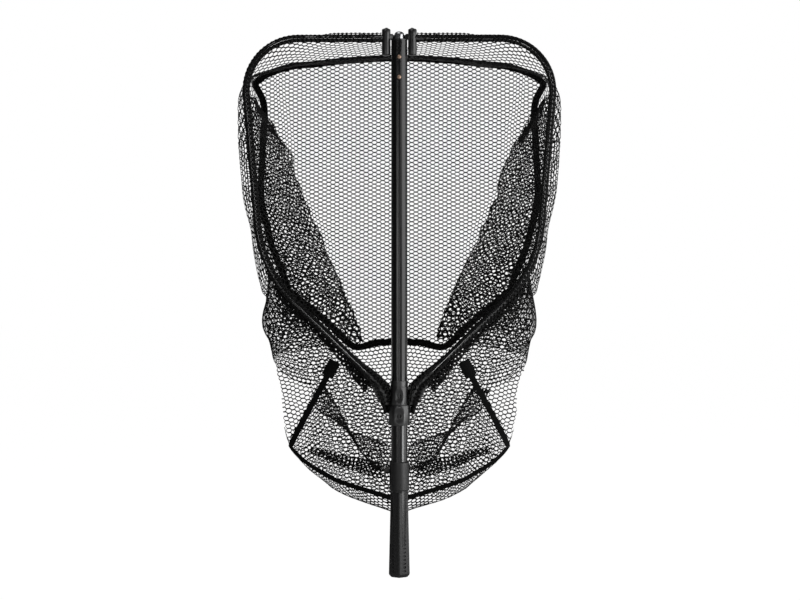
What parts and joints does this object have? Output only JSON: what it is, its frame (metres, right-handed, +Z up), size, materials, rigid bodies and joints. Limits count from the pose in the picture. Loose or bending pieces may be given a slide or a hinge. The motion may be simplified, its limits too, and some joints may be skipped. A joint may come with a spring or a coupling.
{
  "type": "folding_landing_net",
  "caption": "Folding landing net with two hinged half hoops, a deep hexagonal mesh bag, a sliding head with snap buttons, and a tubular handle with a moulded grip and belt clip",
  "frame": {"origin": "Middle of the flat butt of the grip, where the long axis of the handle leaves it", "axes": "+Z up the handle towards the far side of the hoop, +X to the viewer's right, +Y from the hoop into the bag"},
  "size_m": [0.65, 0.3282, 1.071],
  "materials": {
    "anodised": "satin",
    "bright_metal": "polished",
    "nylon": "matte",
    "rubber_grip": "matte",
    "button_brass": "polished",
    "steel": "satin",
    "mesh": "matte",
    "tape": "matte"
  },
  "bodies": {
    "handle": {"handle_tube": "anodised", "tube_cap": "nylon", "nose_plug": "bright_metal", "grip": "rubber_grip", "tube_plug": "nylon", "collar": "rubber_grip", "belt_clip": "nylon", "clip_screw": "steel", "button_spring": "steel"},
    "upper_snap": {"upper_button": "button_brass"},
    "lower_snap": {"lower_button": "button_brass"},
    "head": {"yoke_upper": "nylon", "yoke_lower": "nylon", "yoke_ring": "nylon", "yoke_screw_left": "steel", "yoke_screw_right": "steel", "yoke_pin_left": "steel", "yoke_pin_right": "steel", "bridge_pin_left": "steel", "bridge_pin_right": "steel", "top_bridge": "nylon", "net_top_left": "mesh", "net_top_right": "mesh", "net_side_left": "mesh", "net_side_right": "mesh", "net_apron_left": "mesh", "net_apron_right": "mesh", "net_pouch_left": "mesh", "net_pouch_right": "mesh", "net_fold_left": "mesh", "net_fold_right": "mesh", "net_drape_left": "mesh", "net_drape_right": "mesh", "net_back": "mesh", "tape_rear": "tape", "tape_front": "tape", "arm_patch_left": "tape", "arm_patch_right": "tape"},
    "left_frame": {"hoop_left": "anodised", "hem_left": "mesh", "arm_knuckle_left": "nylon", "top_fitting_left": "nylon", "arm_rivet_left": "bright_metal", "top_rivet_left": "bright_metal"},
    "right_frame": {"hoop_right": "anodised", "hem_right": "mesh", "arm_knuckle_right": "nylon", "top_fitting_right": "nylon", "arm_rivet_right": "bright_metal", "top_rivet_right": "bright_metal"}
  },
  "joints": [
    {"name": "head_slide", "type": "slide", "parent": "handle", "child": "head", "axis": [0, 0, 1], "range_m": [0, 0.6586]},
    {"name": "left_fold", "type": "hinge", "parent": "head", "child": "left_frame", "pos_m": [-0.025, 0, 0.3615], "axis": [0, 0, -1], "range_deg": [0, 90], "deforming": ["net_top_left", "net_side_left", "net_apron_left", "net_fold_left"]},
    {"name": "right_fold", "type": "hinge", "parent": "head", "child": "right_frame", "pos_m": [0.025, 0, 0.3615], "axis": [0, 0, 1], "range_deg": [0, 90], "deforming": ["net_top_right", "net_side_right", "net_apron_right", "net_fold_right"]},
    {"name": "upper_button_press", "type": "slide", "parent": "handle", "child": "upper_snap", "axis": [0, 1, 0], "range_m": [0, 0.003], "stiffness_N_per_m": 1500, "springref_m": -0.001, "deforming": ["button_spring"]},
    {"name": "lower_button_press", "type": "slide", "parent": "handle", "child": "lower_snap", "axis": [0, 1, 0], "range_m": [0, 0.003], "stiffness_N_per_m": 1500, "springref_m": -0.001, "deforming": ["button_spring"]}
  ]
}
